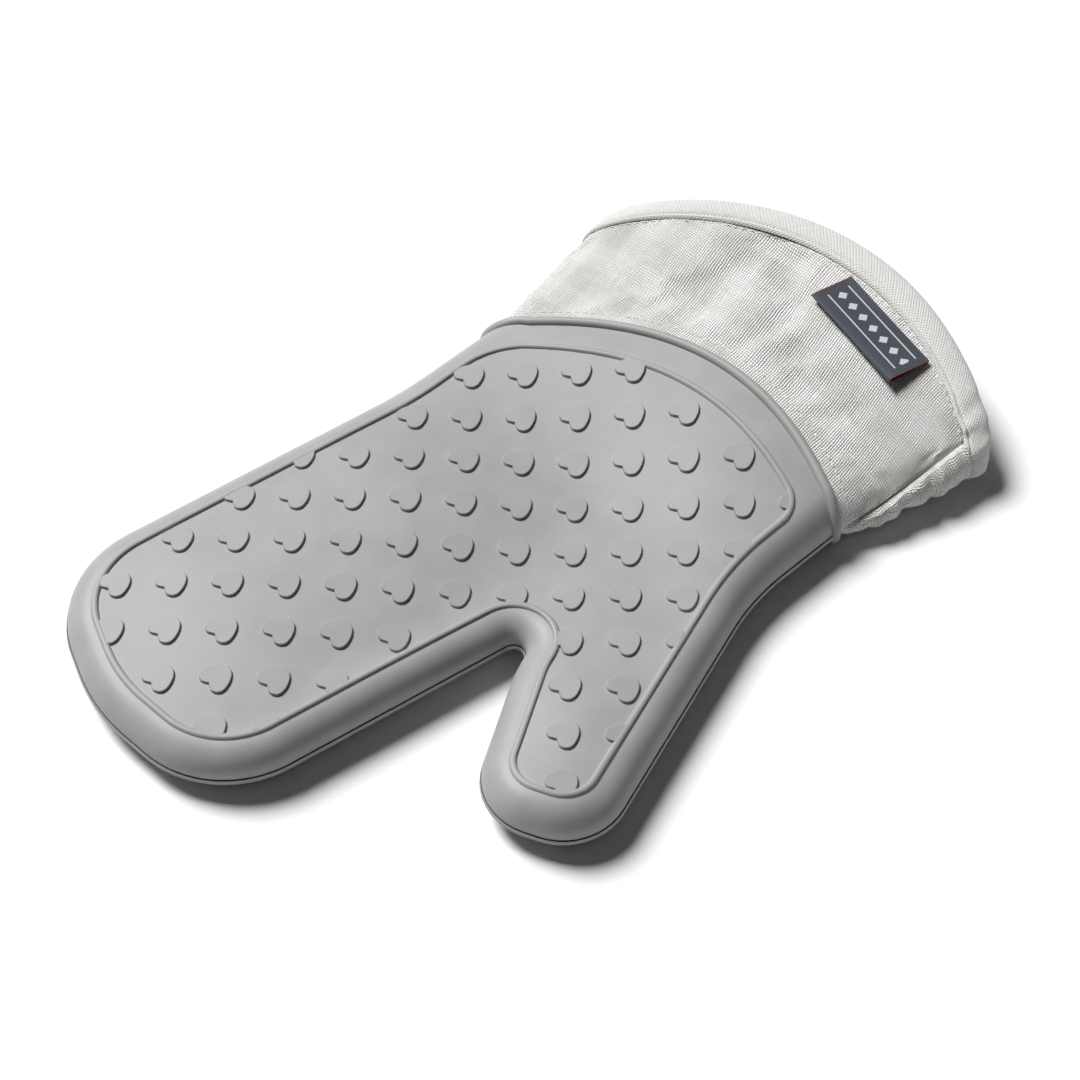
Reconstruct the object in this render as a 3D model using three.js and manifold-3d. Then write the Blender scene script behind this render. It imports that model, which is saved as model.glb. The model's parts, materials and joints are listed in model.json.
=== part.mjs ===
// Oven mitt: a moulded silicone glove over quilted wadding and a cotton lining, with a canvas cuff.
// Millimetres. x runs across the palm towards the thumb, y towards the cuff, z up through the palm.
// The mitt lies on its back, palm up. Its layers are cut at the two flex lines where it bends.
import * as THREE from 'three';
import { mergeVertices } from 'three/addons/utils/BufferGeometryUtils.js';
import Module from 'manifold-3d';

const wasm = await Module();
wasm.setup();

// Layers, from the outside in.
const gloveThickness = 19; // palm face to back face, lying flat
const skinWall = 2; // moulded silicone
const waddingWall = 2; // polyester wadding
const liningWall = 0.8; // cotton lining
const layerGap = 0.3; // clearance between neighbouring pieces
const palmSwell = 7; // how far the palm face stands up at the middle of the collar
const palmSwellWidth = 132;
const palmSwellLength = 190;
const palmSwellSetback = 3; // its middle, behind the collar

// Finger stall: a frame that leans away from the thumb, with its origin on the knuckle line.
const knuckle = new THREE.Vector2(-20.5, -9.9);
const fingerLean = 8.8; // degrees
const fingerWidth = 110;
const fingerLength = 118.2; // knuckle line to fingertip
const fingerShoulder = 12; // how far the tip's two corners sit behind its middle
const fingerTipRadii = [39, 70, 38]; // little-finger corner, middle, forefinger corner
const fingerFlex = 30; // knuckle line to the line where the fingers bend

// Thumb stall: a frame that leans the other way, placed from the crotch between thumb and fingers.
const crotchSetback = 23.3; // crotch corner, behind the knuckle line
const crotchOffset = 1.2; // crotch corner, beside the finger stall's edge
const crotchRadius = 4.3;
const thumbLean = 25.2; // degrees
const thumbWidth = 44;
const thumbTipFlat = 0.6; // straight part of the thumb tip
const thumbHeel = new THREE.Vector2(-27.8, 5); // across and along the stall, where its inner edge bellies
const thumbHeelRadius = 40;
const thumbOffset = 4.1; // stall's inner edge, beside the crotch corner
const thumbSetback = 17.8; // stall's origin, ahead of the crotch corner
const thumbLength = 60.6; // stall's origin to the thumb tip
const thumbFlex = 20; // stall's origin to the line where the thumb bends

// Wrist and collar: the skin ends in a bowed collar line.
const wristWidth = 148.6;
const wristCentre = 4.2;
const wristBendLeft = 35; // y where the little-finger side turns into the wrist
const wristBendRight = 62.5; // y where the thumb side turns into the wrist
const wristBendRadii = [150, 90];
const collarLeft = 77; // y of the collar at the little-finger side
const collarRight = 105; // y of the collar at the thumb side
const collarBow = 28; // how far the collar bows out between its ends

// Cuff: canvas and lining, open at the hem.
const cuffLength = 67; // mean of the two side seams
const cuffSkew = 8; // the little-finger seam is this much longer than the thumb seam
const cuffFlareLeft = 9.7; // degrees
const cuffFlareRight = 13.8; // degrees
const hemBow = 35.5;
const mouthRise = 22; // canvas above the side seam at the mouth
const backRise = 8; // canvas below the side seam
const canvasWall = 1.4;
const canvasTuck = 1; // canvas below the skin's face at the collar
const collarGap = 0.5; // skin's edge to the canvas
const roundness = [3, 2.3]; // superellipse power of the palm arch at the collar and at the mouth
const backRoundness = 3.2;
const bindingWidth = 11;
const bindingProud = 1; // binding stands proud of the canvas on both faces
const threadSize = 0.8;
const collarStitchInset = 5; // thread line to the collar

// Label: a folded woven tab, sewn in under the binding.
const labelWidth = 46;
const labelHeight = 17;
const labelThickness = 1;
const labelAcross = 0.695; // its middle, as a share of the way across the palm panel
const labelClearance = 1;
const labelSetback = 3.5; // its straight edge to the bowed thread line

// Fineness of the facets.
const arcStep = THREE.MathUtils.degToRad(14);
const rimSteps = { skin: 3, wadding: 2, lining: 2 };
const swellSteps = [20, 10];
const panelSteps = [18, 4];
const bandSteps = 44;
const collarSteps = 24;

const far = 400; // reach of a cutting prism
const overCollar = 10; // the outline runs on past the collar, where it is cut
const zoneMargin = 6; // a flex cut reaches this far past its stall
const mid = gloveThickness / 2;
const rimRadius = mid - 0.1; // the edge is half round

const finishes = {
  silicone: { color: '#aeb0ae', roughness: 0.55 },
  wadding: { color: '#f2f0ea', roughness: 1 },
  lining: { color: '#edeae2', roughness: 0.95 },
  canvas: { color: '#ebe9e6', roughness: 0.95 },
  binding: { color: '#efede9', roughness: 0.95 },
  thread: { color: '#e2dfd8', roughness: 0.9 },
  label: { color: '#3a444e', roughness: 0.85 },
};

const mitt = new THREE.Group();

function addPiece(name, geometry, finish) {
  const material = new THREE.MeshStandardMaterial({ ...finishes[finish], metalness: 0 });
  const mesh = new THREE.Mesh(geometry, material);
  mesh.name = name;
  mitt.add(mesh);
  return mesh;
}

// Leaning frames: across is towards the thumb side, along is towards the tip.
function leaningFrame(origin, leanDegrees) {
  const lean = THREE.MathUtils.degToRad(leanDegrees);
  const along = new THREE.Vector2(Math.sin(lean), -Math.cos(lean));
  const across = new THREE.Vector2(Math.cos(lean), Math.sin(lean));
  const at = (a, l) => origin.clone().addScaledVector(across, a).addScaledVector(along, l);
  return { along, across, at };
}

const fingers = leaningFrame(knuckle, -fingerLean);
const crotch = fingers.at(fingerWidth / 2 + crotchOffset, -crotchSetback);
const thumbRoot = leaningFrame(crotch, thumbLean).at(thumbWidth / 2 + thumbOffset, thumbSetback);
const thumb = leaningFrame(thumbRoot, thumbLean);
const wristLeft = wristCentre - wristWidth / 2;
const wristRight = wristCentre + wristWidth / 2;

// Outline of the silicone glove, seen from the palm side.

function roundedCorner(before, corner, after, radius) {
  const toBefore = before.clone().sub(corner).normalize();
  const toAfter = after.clone().sub(corner).normalize();
  const half = Math.acos(toBefore.dot(toAfter)) / 2;
  const middle = toBefore.clone().add(toAfter).normalize();
  const centre = corner.clone().addScaledVector(middle, radius / Math.sin(half));
  const start = corner.clone().addScaledVector(toBefore, radius / Math.tan(half));
  const sweep = (Math.PI - 2 * half) * Math.sign(toAfter.cross(toBefore));
  const steps = Math.max(2, Math.ceil(Math.abs(sweep) / arcStep));
  const spot = (k) => start.clone().rotateAround(centre, (sweep * k) / steps);
  return Array.from({ length: steps + 1 }, (_, k) => spot(k));
}

function gloveOutline() {
  const aboveCollar = Math.max(collarLeft, collarRight) + collarBow + overCollar;
  const tipHalf = fingerWidth / 2;
  const thumbHalf = thumbWidth / 2;
  const thumbTipRadius = thumbHalf - thumbTipFlat / 2;
  const corners = [
    { at: new THREE.Vector2(wristLeft, wristBendLeft), radius: wristBendRadii[0] },
    { at: fingers.at(-tipHalf, fingerLength - fingerShoulder), radius: fingerTipRadii[0] },
    { at: fingers.at(0, fingerLength), radius: fingerTipRadii[1] },
    { at: fingers.at(tipHalf, fingerLength - fingerShoulder), radius: fingerTipRadii[2] },
    { at: crotch, radius: crotchRadius },
    { at: thumb.at(thumbHeel.x, thumbHeel.y), radius: thumbHeelRadius },
    { at: thumb.at(-thumbHalf, thumbLength), radius: thumbTipRadius },
    { at: thumb.at(thumbHalf, thumbLength), radius: thumbTipRadius },
    { at: new THREE.Vector2(wristRight, wristBendRight), radius: wristBendRadii[1] },
  ];
  const start = new THREE.Vector2(wristLeft, aboveCollar);
  const end = new THREE.Vector2(wristRight, aboveCollar);
  const points = [start];
  corners.forEach(({ at, radius }, k) => {
    const before = k === 0 ? start : corners[k - 1].at;
    const after = k === corners.length - 1 ? end : corners[k + 1].at;
    points.push(...roundedCorner(before, at, after, radius));
  });
  points.push(end);
  return new THREE.Shape(points);
}

// Solids.

function toSolid(geometry) {
  const bare = geometry.clone();
  bare.deleteAttribute('normal');
  bare.deleteAttribute('uv');
  const merged = mergeVertices(bare, 1e-4);
  const vertProperties = new Float32Array(merged.attributes.position.array);
  const triVerts = new Uint32Array(merged.index.array);
  return new wasm.Manifold(new wasm.Mesh({ numProp: 3, vertProperties, triVerts }));
}

function toGeometry(solid) {
  const { vertProperties, triVerts } = solid.getMesh();
  const geometry = new THREE.BufferGeometry();
  geometry.setAttribute('position', new THREE.BufferAttribute(vertProperties, 3));
  geometry.setIndex(new THREE.BufferAttribute(triVerts, 1));
  geometry.computeVertexNormals();
  return geometry;
}

function prism(points, low, high) {
  const shape = new THREE.Shape(points);
  const geometry = new THREE.ExtrudeGeometry(shape, { depth: high - low, bevelEnabled: false });
  return toSolid(geometry.translate(0, 0, low));
}

// The glove's outer form, drawn in by inset on every side.
function gloveForm(inset, steps) {
  const form = new THREE.ExtrudeGeometry(gloveOutline(), {
    depth: gloveThickness - 2 * rimRadius,
    bevelThickness: rimRadius - inset,
    bevelSize: rimRadius - inset,
    bevelOffset: -rimRadius,
    bevelSegments: steps,
  });
  return toSolid(form.translate(0, 0, rimRadius));
}

// The swell of the palm face towards the collar.
function palmSwellForm(inset) {
  const height = 2 * palmSwell;
  const middle = collarPoint(0.5).sub(new THREE.Vector2(0, palmSwellSetback));
  const form = new THREE.SphereGeometry(1, ...swellSteps);
  form.scale(palmSwellWidth / 2 - inset, palmSwellLength / 2 - inset, height - inset);
  return toSolid(form.translate(middle.x, middle.y, gloveThickness - palmSwell));
}

// Collar and cuff lines: t runs from the little-finger side, 0, to the thumb side, 1.

function bowedPoint(left, right, bow, t) {
  const chord = right.clone().sub(left);
  const outward = new THREE.Vector2(-chord.y, chord.x).normalize();
  const rise = bow * (1 - (2 * t - 1) ** 2);
  return left.clone().addScaledVector(chord, t).addScaledVector(outward, rise);
}

function collarPoint(t) {
  const left = new THREE.Vector2(wristLeft, collarLeft);
  const right = new THREE.Vector2(wristRight, collarRight);
  return bowedPoint(left, right, collarBow, t);
}

function cuffLine(along, t) {
  const flareLeft = THREE.MathUtils.degToRad(cuffFlareLeft);
  const flareRight = THREE.MathUtils.degToRad(cuffFlareRight);
  const leftReach = (cuffLength + cuffSkew / 2) * along;
  const rightReach = (cuffLength - cuffSkew / 2) * along;
  const left = new THREE.Vector2(wristLeft, collarLeft + collarGap);
  const right = new THREE.Vector2(wristRight, collarRight + collarGap);
  left.add(new THREE.Vector2(-Math.sin(flareLeft), Math.cos(flareLeft)).multiplyScalar(leftReach));
  right.add(new THREE.Vector2(Math.sin(flareRight), Math.cos(flareRight)).multiplyScalar(rightReach));
  const bow = THREE.MathUtils.lerp(collarBow, hemBow, along);
  return { left, right, point: bowedPoint(left, right, bow, t) };
}

// A point of the cuff's tube: angle 0 is the little-finger seam, PI the thumb seam, and past PI the back.
function cuffPoint(angle, along, inset) {
  const isPalm = angle <= Math.PI;
  const power = isPalm ? THREE.MathUtils.lerp(roundness[0], roundness[1], along) : backRoundness;
  const collarRise = mid + palmSwell - canvasTuck;
  const rise = (isPalm ? THREE.MathUtils.lerp(collarRise, mouthRise, along) : backRise) - inset;
  const { left, right } = cuffLine(along, 0);
  const width = left.distanceTo(right);
  const spread = -Math.cos(angle);
  const lift = Math.max(0, 1 - Math.abs(spread) ** power) ** (1 / power);
  const { point } = cuffLine(along, 0.5 + 0.5 * spread * (1 - (2 * inset) / width));
  const seamHalf = layerGap / 2;
  return new THREE.Vector3(point.x, point.y, mid + (isPalm ? 1 : -1) * (seamHalf + lift * rise));
}

function facingOut(geometry) {
  const merged = mergeVertices(geometry, 1e-4);
  const { position } = merged.attributes;
  const index = merged.index.array;
  const corner = (k) => new THREE.Vector3().fromBufferAttribute(position, index[k]);
  let volume = 0;
  for (let k = 0; k < index.length; k += 3) {
    volume += corner(k).dot(corner(k + 1).cross(corner(k + 2)));
  }
  if (volume < 0) {
    for (let k = 0; k < index.length; k += 3) {
      [index[k + 1], index[k + 2]] = [index[k + 2], index[k + 1]];
    }
  }
  merged.computeVertexNormals();
  return merged;
}

function reshaped(geometry, place) {
  geometry.deleteAttribute('normal');
  geometry.deleteAttribute('uv');
  const { position } = geometry.attributes;
  for (let k = 0; k < position.count; k += 1) {
    const at = place(new THREE.Vector3().fromBufferAttribute(position, k));
    position.setXYZ(k, at.x, at.y, at.z);
  }
  return facingOut(geometry);
}

// A cloth panel of the cuff, from one side seam to the other.
function cuffPanel(side, inset, wall, alongEnd) {
  const sheet = new THREE.BoxGeometry(1, 1, 1, ...panelSteps, 1).translate(0.5, 0.5, 0.5);
  const turn = side === 'palm' ? 1 : -1;
  const tiny = 1e-9; // keeps the back panel's two seam edges on the back of the tube
  return reshaped(sheet, ({ x, y, z }) => {
    const angle = turn === 1 ? x * Math.PI : Math.PI + tiny + x * (Math.PI - 2 * tiny);
    return cuffPoint(angle, y * alongEnd, inset + wall * z);
  });
}

// A closed band round the cuff's tube, between two places along it.
function cuffBand(alongStart, alongEnd, insetOuter, insetInner) {
  const profile = [[2, 0], [2, 1], [1, 1], [1, 0], [2, 0]].map(([x, y]) => new THREE.Vector2(x, y));
  const ring = new THREE.LatheGeometry(profile, bandSteps);
  return reshaped(ring, ({ x, y, z }) => {
    const angle = (Math.atan2(x, z) + 2 * Math.PI) % (2 * Math.PI);
    const inset = Math.hypot(x, z) > 1.5 ? insetOuter : insetInner;
    return cuffPoint(angle, THREE.MathUtils.lerp(alongStart, alongEnd, y), inset);
  });
}

// Cutting prisms: the skin stops at the collar, and every layer parts at the two flex lines.

function withinCollar() {
  const overrun = 0.12; // carries the bow past the skin's sides
  const place = (k) => THREE.MathUtils.lerp(-overrun, 1 + overrun, k / collarSteps);
  const line = Array.from({ length: collarSteps + 1 }, (_, k) => collarPoint(place(k)));
  const below = [new THREE.Vector2(far, -far), new THREE.Vector2(-far, -far)];
  const right = new THREE.Vector2(far, line[collarSteps].y);
  const left = new THREE.Vector2(-far, line[0].y);
  return prism([left, ...line, right, ...below].reverse(), -far, far);
}

function beyondFlex(frame, from, low, high) {
  const corners = [frame.at(low, from), frame.at(low, far), frame.at(high, far), frame.at(high, from)];
  return prism(corners, -far, far);
}

function fingerZone(from) {
  return beyondFlex(fingers, from, -far, fingerWidth / 2 + zoneMargin);
}

function thumbZone(from) {
  return beyondFlex(thumb, from, -thumbWidth / 2 - zoneMargin, far);
}

function halfSpace(side) {
  const half = far / 2;
  const lift = half + layerGap / 2;
  const block = new THREE.BoxGeometry(2 * far, 2 * far, far);
  return toSolid(block.translate(0, 0, side === 'palm' ? mid + lift : mid - lift));
}

// One layer of the glove, a palm half and a back half, each in three pieces.
function addLayer(layer, finish, insetOuter, insetInner) {
  const steps = rimSteps[layer];
  ['palm', 'back'].forEach((side) => {
    const form = (inset) => {
      const plain = gloveForm(inset, steps);
      return side === 'palm' ? plain.add(palmSwellForm(inset)) : plain;
    };
    const hollow = form(insetOuter).subtract(form(insetInner));
    const shell = hollow.intersect(halfSpace(side)).intersect(withinCollar());
    const hand = shell.subtract(fingerZone(fingerFlex - layerGap)).subtract(thumbZone(thumbFlex - layerGap));
    addPiece(`${side}_${layer}_hand`, toGeometry(hand), finish);
    addPiece(`${side}_${layer}_fingers`, toGeometry(shell.intersect(fingerZone(fingerFlex))), finish);
    addPiece(`${side}_${layer}_thumb`, toGeometry(shell.intersect(thumbZone(thumbFlex))), finish);
  });
}

function addGlove() {
  const waddingInset = skinWall + layerGap;
  const liningInset = waddingInset + waddingWall + layerGap;
  addLayer('skin', 'silicone', 0, skinWall);
  addLayer('wadding', 'wadding', waddingInset, waddingInset + waddingWall);
  addLayer('lining', 'lining', liningInset, liningInset + liningWall);
}

const bindingStart = 1 - bindingWidth / cuffLength;

function addCuff() {
  const liningInset = canvasWall + layerGap;
  const panelEnd = bindingStart - layerGap / cuffLength;
  ['palm', 'back'].forEach((side) => {
    addPiece(`${side}_cuff_canvas`, cuffPanel(side, 0, canvasWall, panelEnd), 'canvas');
    addPiece(`${side}_cuff_lining`, cuffPanel(side, liningInset, liningWall, panelEnd), 'lining');
  });
  const bindingInner = liningInset + liningWall + bindingProud;
  addPiece('hem_binding', cuffBand(bindingStart, 1, -bindingProud, bindingInner), 'binding');
}

// Thread lines lie on the canvas: one beside the collar and one beside the binding.
function addStitching() {
  const thread = threadSize / cuffLength;
  const gap = layerGap / cuffLength;
  const collarStart = collarStitchInset / cuffLength;
  const rows = { collar_stitching: collarStart, hem_stitching: bindingStart - gap - thread };
  Object.entries(rows).forEach(([name, start]) => {
    addPiece(name, cuffBand(start, start + thread, -layerGap - threadSize, -layerGap), 'thread');
  });
}

// The label hangs from the binding seam and lies flat over the canvas.
function labelFrame() {
  const angle = Math.acos(1 - 2 * labelAcross);
  const along = bindingStart - (threadSize + layerGap + labelSetback) / cuffLength;
  const step = 0.01;
  const root = cuffPoint(angle, along, 0);
  const across = cuffPoint(angle + step, along, 0).sub(cuffPoint(angle - step, along, 0)).normalize();
  const toHem = cuffPoint(angle, along + step, 0).sub(cuffPoint(angle, along - step, 0));
  const up = across.clone().cross(toHem).normalize();
  root.addScaledVector(up, labelClearance);
  return { root, across, up, toHem: up.clone().cross(across) };
}

function addLabel() {
  const { root, across, up, toHem } = labelFrame();
  const tab = new THREE.BoxGeometry(labelWidth, labelHeight, labelThickness);
  tab.translate(0, -labelHeight / 2, labelThickness / 2);
  const mesh = addPiece('label', tab, 'label');
  mesh.setRotationFromMatrix(new THREE.Matrix4().makeBasis(across, toHem, up));
  mesh.position.copy(root);
}

addGlove();
addCuff();
addStitching();
addLabel();

// The origin is the middle of the underside.
const bounds = new THREE.Box3().setFromObject(mitt);
const shift = new THREE.Vector3().addVectors(bounds.min, bounds.max).multiplyScalar(-0.5).setZ(-bounds.min.z);
mitt.position.copy(shift);

// Hinge lines, in the finished mitt's frame. Each positive turn lifts its piece off the table.
function flexHinge(stall, flex) {
  const { x, y } = stall.at(0, flex);
  const at = new THREE.Vector3(x, y, gloveThickness).add(shift);
  return { at, axis: new THREE.Vector3(-stall.across.x, -stall.across.y, 0) };
}

mitt.userData.hinges = {
  fingers: flexHinge(fingers, fingerFlex),
  thumb: flexHinge(thumb, thumbFlex),
  label: { at: labelFrame().root.add(shift), axis: labelFrame().across.negate() },
};

export default mitt;
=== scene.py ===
# Oven mitt: moulded silicone glove, wadding and cotton lining, gingham canvas cuff with a bound hem.
import json
import math
import bpy
import bmesh
from mathutils import Matrix, Vector, noise
from mathutils.bvhtree import BVHTree


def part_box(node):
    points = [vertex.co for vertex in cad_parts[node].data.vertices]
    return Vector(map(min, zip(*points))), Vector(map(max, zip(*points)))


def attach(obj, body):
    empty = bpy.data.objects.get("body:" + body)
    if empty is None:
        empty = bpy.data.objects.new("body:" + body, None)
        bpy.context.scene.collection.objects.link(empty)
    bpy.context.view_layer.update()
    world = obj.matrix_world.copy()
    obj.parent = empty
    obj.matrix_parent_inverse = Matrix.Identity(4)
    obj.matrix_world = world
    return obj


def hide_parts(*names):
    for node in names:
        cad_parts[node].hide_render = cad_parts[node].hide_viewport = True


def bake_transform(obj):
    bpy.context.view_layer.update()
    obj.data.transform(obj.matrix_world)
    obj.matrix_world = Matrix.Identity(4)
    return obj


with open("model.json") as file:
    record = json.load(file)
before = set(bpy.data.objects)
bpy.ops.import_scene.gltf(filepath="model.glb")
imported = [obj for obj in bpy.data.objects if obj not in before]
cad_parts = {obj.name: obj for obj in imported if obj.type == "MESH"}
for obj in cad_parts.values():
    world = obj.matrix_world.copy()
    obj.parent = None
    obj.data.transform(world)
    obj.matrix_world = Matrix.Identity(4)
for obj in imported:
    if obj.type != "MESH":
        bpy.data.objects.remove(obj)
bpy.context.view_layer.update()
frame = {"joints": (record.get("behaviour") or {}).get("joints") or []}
scene = bpy.context.scene

# Camera first.

cameraSetup = {
    "aim": (0.00519, -0.01132, 0.02),
    "azimuth": 47.97,  # degrees
    "elevation": 51.87,
    "roll": -1.166,
    "distance": 0.9599,
    "lens": 94.573,
}


def makeCamera():
    azimuth, elevation = (math.radians(cameraSetup[k]) for k in ("azimuth", "elevation"))
    level = math.cos(elevation)
    back = Vector((math.sin(azimuth) * level, -math.cos(azimuth) * level, math.sin(elevation)))
    right = Vector((0, 0, 1)).cross(back).normalized()
    basis = Matrix((right, back.cross(right), back)).transposed()
    camera = bpy.data.objects.new("camera", bpy.data.cameras.new("camera"))
    camera.data.lens = cameraSetup["lens"]
    camera.data.sensor_width = 36
    camera.data.clip_start, camera.data.clip_end = 0.01, 20
    place = Vector(cameraSetup["aim"]) + back * cameraSetup["distance"]
    turn = basis.to_4x4() @ Matrix.Rotation(math.radians(cameraSetup["roll"]), 4, "Z")
    camera.matrix_world = Matrix.Translation(place) @ turn
    scene.collection.objects.link(camera)
    scene.camera = camera


makeCamera()
print("camera ready")

# Shape of the glove, in millimetres, with the palm up and y towards the cuff.

gloveShape = {
    "thickness": 19,
    "knuckle": (-20.5, -9.9),
    "fingerLean": -8.8,  # degrees
    "fingerWidth": 110,
    "fingerLength": 118.2,
    "fingerShoulder": 12,
    "fingerTipRadii": (39, 70, 38),
    "fingerFlex": 30,
    "crotchSetback": 23.3,
    "crotchOffset": 1.2,
    "crotchRadius": 4.3,
    "thumbLean": 25.2,
    "thumbWidth": 44,
    "thumbOffset": 4.1,
    "thumbSetback": 17.8,
    "thumbLength": 60.6,
    "thumbHeel": (-27.8, 5),  # where the stall's inner edge bellies, across and along it
    "thumbHeelRadius": 40,
    "wristWidth": 148.6,
    "wristCentre": 4.2,
    "wristBends": ((35, 150), (62.5, 90)),  # height and radius, left and right
    "collarEnds": (77, 105),
    "collarBow": 28,
}
mid = gloveShape["thickness"] / 2
rimRadius = mid - 0.1
halfGap = 0.1


def stallFrame(origin, lean):
    angle = math.radians(lean)
    return {
        "origin": origin,
        "along": Vector((math.sin(angle), -math.cos(angle))),
        "across": Vector((math.cos(angle), math.sin(angle))),
    }


def at(stall, across, along):
    return stall["origin"] + stall["across"] * across + stall["along"] * along


def inStall(stall, point):
    away = point - stall["origin"]
    return away.dot(stall["across"]), away.dot(stall["along"])


fingers = stallFrame(Vector(gloveShape["knuckle"]), gloveShape["fingerLean"])
crotch = at(fingers, gloveShape["fingerWidth"] / 2 + gloveShape["crotchOffset"], -gloveShape["crotchSetback"])
thumbAcross = gloveShape["thumbWidth"] / 2 + gloveShape["thumbOffset"]
thumbRoot = at(stallFrame(crotch, gloveShape["thumbLean"]), thumbAcross, gloveShape["thumbSetback"])
thumb = stallFrame(thumbRoot, gloveShape["thumbLean"])
gapWay = (fingers["along"] + thumb["along"]).normalized()
wristLeft = gloveShape["wristCentre"] - gloveShape["wristWidth"] / 2
wristRight = gloveShape["wristCentre"] + gloveShape["wristWidth"] / 2

# The frame's own finger hinge says where these millimetres lie.
fingerJoint = next(j for j in frame["joints"] if j["name"] == "finger_bend")
shift = Vector(fingerJoint["pos_m"][:2]) * 1000 - at(fingers, 0, gloveShape["fingerFlex"])
toFrame = Matrix.Scale(0.001, 4) @ Matrix.Translation((shift.x, shift.y, 0))


def bowed(left, right, bow, t):
    chord = right - left
    outward = Vector((-chord.y, chord.x)).normalized()
    return left + chord * t + outward * (bow * (1 - (2 * t - 1) ** 2))


def collarPoint(t):
    ends = gloveShape["collarEnds"]
    return bowed(Vector((wristLeft, ends[0])), Vector((wristRight, ends[1])), gloveShape["collarBow"], t)


def collarNormal(t):
    way = collarPoint(t + 0.001) - collarPoint(t - 0.001)
    return Vector((-way.y, way.x)).normalized()


def collarShare(x):
    low, high = -0.3, 1.3
    for _ in range(40):
        middle = (low + high) / 2
        low, high = (middle, high) if collarPoint(middle).x < x else (low, middle)
    return low


def collarY(x):
    return collarPoint(collarShare(x)).y


def turned(vector, angle):
    return Matrix.Rotation(angle, 2) @ vector


def outlineCorners():
    half, tip = gloveShape["fingerWidth"] / 2, gloveShape["fingerLength"]
    shoulder = tip - gloveShape["fingerShoulder"]
    radii, bends = gloveShape["fingerTipRadii"], gloveShape["wristBends"]
    thumbHalf = gloveShape["thumbWidth"] / 2
    top = max(gloveShape["collarEnds"]) + 60
    spots = [
        (Vector((wristLeft, top)), 0),
        (Vector((wristLeft, bends[0][0])), bends[0][1]),
        (at(fingers, -half, shoulder), radii[0]),
        (at(fingers, 0, tip), radii[1]),
        (at(fingers, half, shoulder), radii[2]),
        (crotch, gloveShape["crotchRadius"]),
        (at(thumb, *gloveShape["thumbHeel"]), gloveShape["thumbHeelRadius"]),
        (at(thumb, -thumbHalf, gloveShape["thumbLength"]), thumbHalf - 0.3),
        (at(thumb, thumbHalf, gloveShape["thumbLength"]), thumbHalf - 0.3),
        (Vector((wristRight, bends[1][0])), bends[1][1]),
        (Vector((wristRight, top)), 0),
    ]
    arcs = []
    for k in range(1, len(spots) - 1):
        corner, radius = spots[k]
        toBefore = (spots[k - 1][0] - corner).normalized()
        toAfter = (spots[k + 1][0] - corner).normalized()
        opening = math.acos(toBefore.dot(toAfter)) / 2
        turn = 1 if toAfter.cross(toBefore) > 0 else -1
        centre = corner + (toBefore + toAfter).normalized() * (radius / math.sin(opening))
        spoke = corner + toBefore * (radius / math.tan(opening)) - centre
        arcs.append((centre, spoke, (math.pi - 2 * opening) * turn, radius, turn))
    return arcs


arcs = outlineCorners()


def outlineRing(inset, step=3.2, tops=None):
    tops = tops or (collarY(wristLeft + inset), collarY(wristRight - inset))
    points = [Vector((wristLeft + inset, tops[0]))]
    base = [Vector((wristLeft, gloveShape["collarEnds"][0]))]  # the same counts whatever the inset

    def straightTo(point, basePoint):
        start, steps = points[-1], max(1, round((basePoint - base[-1]).length / step))
        points.extend(start.lerp(point, k / steps) for k in range(1, steps + 1))
        base.append(basePoint)

    for centre, spoke, sweep, radius, turn in arcs:
        scale = (radius - turn * inset) / radius
        straightTo(centre + spoke * scale, centre + spoke)
        steps = max(round(abs(sweep) * radius / step), math.ceil(abs(sweep) / 0.16))
        points.extend(centre + turned(spoke, sweep * k / steps) * scale for k in range(1, steps + 1))
        base.append(centre + turned(spoke, sweep))
    straightTo(Vector((wristRight - inset, tops[1])), Vector((wristRight, gloveShape["collarEnds"][1])))
    return points


def smooth(value):
    value = min(1, max(0, value))
    return value * value * (3 - 2 * value)


palmForm = {
    "collarSwell": 9,
    "collarReach": 76,
    "fingerCrown": 3.0,
    "fingerPad": (-7, 46),  # its middle across the stall, and half its width
    "palmHollow": 1.9,
    "hollowPlace": (16, 20),
    "hollowReach": (30, 42),
    "thumbCrown": 1.5,
    "thumbPad": 17,  # half width
    "backPanel": 1.0,  # the back panel sits this far up between its own hearts
}


def palmRise(point):
    # How far the palm stands above a plain half-round glove.
    u = (point.x - gloveShape["wristCentre"]) / (gloveShape["wristWidth"] / 2)
    near = smooth(1 - (collarY(point.x) - point.y) / palmForm["collarReach"])
    swell = palmForm["collarSwell"] * near * max(0, 1 - u * u) * (1 + 0.2 * u)
    across, along = inStall(fingers, point)
    middle, half = palmForm["fingerPad"]
    crown = max(0, 1 - ((across - middle) / half) ** 2)
    crown = crown * smooth((along + 70) / 70) * smooth((118 - along) / 60)
    (placeX, placeY), (reachX, reachY) = palmForm["hollowPlace"], palmForm["hollowReach"]
    hollow = math.exp(-(((point.x - placeX) / reachX) ** 2) - ((point.y - placeY) / reachY) ** 2)
    beside, ahead = inStall(thumb, point)
    pad = max(0, 1 - (beside / palmForm["thumbPad"]) ** 2) * smooth((ahead + 20) / 40)
    palm = swell + palmForm["fingerCrown"] * crown - palmForm["palmHollow"] * hollow
    return palm + palmForm["thumbCrown"] * pad


def skinZ(side, point, lift=rimRadius, full=rimRadius):
    if side == "palm":
        return mid + halfGap + lift + palmRise(point) * lift / full
    return mid - halfGap - lift * (rimRadius - palmForm["backPanel"]) / rimRadius


def stallOf(point):
    # The stall on a point's own side of the crotch.
    return fingers if (point - crotch).cross(gapWay) > 0 else thumb


def regionOf(point):
    stall = stallOf(point)
    if inStall(stall, point)[1] <= 0:
        return "hand"
    return "fingers" if stall is fingers else "thumb"


# Mesh helpers.


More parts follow.
